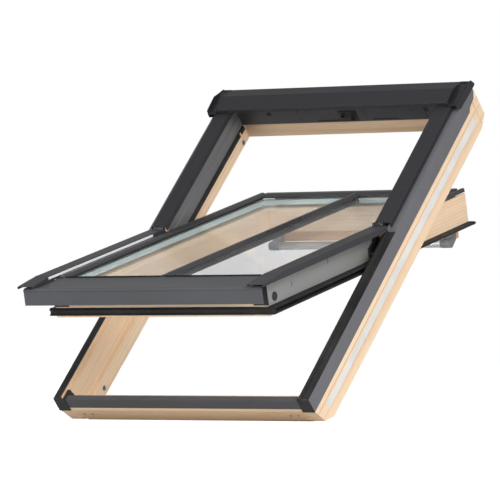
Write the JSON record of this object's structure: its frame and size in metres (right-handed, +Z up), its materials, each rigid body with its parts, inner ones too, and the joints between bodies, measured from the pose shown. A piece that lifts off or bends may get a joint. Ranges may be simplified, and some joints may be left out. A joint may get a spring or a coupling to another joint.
{
  "type": "roof skylight",
  "caption": "Centre-pivot roof window, open, with timber frame, metal covers, top hood, divided double glazing, ventilation flap and control bar at the sash's upper end.",
  "frame": {"origin": "middle of the bottom rail's room face, where the interior lining meets it", "axes": "+X across the window to the right as seen from outside, +Y horizontally into the building up the roof, +Z up; the window is pitched at 45 degrees about X"},
  "size_m": [0.784, 1.1322, 0.9008],
  "materials": {
    "pine": "clear matt varnish",
    "flap_pine": "clear matt varnish",
    "side_cladding": "grey paint, satin",
    "cover_dark": "dark grey paint, satin",
    "bottom_cover": "grey paint, satin",
    "black_trim": "matt",
    "liner_dark": "dark grey paint, satin",
    "liner_grey": "grey, satin",
    "profile_grey": "grey, satin",
    "gasket": "matt",
    "light_strip": "matt",
    "steel": "zinc plated",
    "glass": "polished",
    "spacer": "satin",
    "bar_silver": "anodised, satin",
    "arm_grey": "satin"
  },
  "bodies": {
    "frame": {"frame_side_left": "pine", "frame_side_right": "pine", "frame_top_rail": "pine", "frame_bottom_rail": "pine", "side_cladding_left": "side_cladding", "side_cladding_right": "side_cladding", "upper_cover_left": "cover_dark", "upper_cover_right": "cover_dark", "top_hood": "cover_dark", "hood_cap_left": "black_trim", "hood_cap_right": "black_trim", "bottom_profile": "bottom_cover", "corner_piece_left": "black_trim", "corner_piece_right": "black_trim", "head_liner": "liner_dark", "side_liner_left": "liner_grey", "side_liner_right": "liner_grey", "frame_gasket_left": "gasket", "frame_gasket_right": "gasket", "side_strip_left": "light_strip", "side_strip_right": "light_strip", "striker": "steel", "hinge_bracket_left": "steel", "hinge_bracket_right": "steel", "bolt_bushes": "steel", "frame_screws": "steel", "face_seals": "gasket"},
    "sash": {"sash_stile_left": "pine", "sash_stile_right": "pine", "sash_top_rail": "pine", "sash_bottom_rail": "pine", "outer_pane": "glass", "inner_pane": "glass", "pane_spacer": "spacer", "glazing_bar": "cover_dark", "bar_core": "cover_dark", "bottom_cover": "bottom_cover", "sash_cover_left": "cover_dark", "sash_cover_right": "cover_dark", "side_profile_left": "profile_grey", "side_profile_right": "profile_grey", "bead_left": "cover_dark", "bead_right": "cover_dark", "bead_top": "cover_dark", "sash_gasket_lower": "gasket", "sash_gasket_upper": "gasket", "hinge_arm_left": "steel", "hinge_arm_right": "steel", "lock_case": "steel", "bolt_guide": "steel", "air_filter": "light_strip", "flap_hinge": "steel", "sash_screws": "steel", "sash_end_caps": "black_trim"},
    "flap": {"vent_flap": "flap_pine", "control_bar": "bar_silver", "bar_arm_left": "arm_grey", "bar_arm_right": "arm_grey"},
    "latch": {"latch_jaw": "steel"},
    "bolt": {"sliding_bolt": "steel"}
  },
  "joints": [
    {"name": "sash_turn", "type": "hinge", "parent": "frame", "child": "sash", "pos_m": [0, 0.32456, 0.50275], "axis": [-1, 0, 0], "range_deg": [-31, 123]},
    {"name": "flap_turn", "type": "hinge", "parent": "sash", "child": "flap", "pos_m": [0, 0.83268, 0.51092], "axis": [1, 0, 0], "range_deg": [0, 24]},
    {"name": "latch_turn", "type": "hinge", "parent": "sash", "child": "latch", "pos_m": [0, 0.831, 0.54657], "axis": [-1, 0, 0], "range_deg": [0, 55]},
    {"name": "bolt_slide", "type": "slide", "parent": "sash", "child": "bolt", "axis": [-1, 0, 0], "range_m": [0, 0.014]}
  ]
}
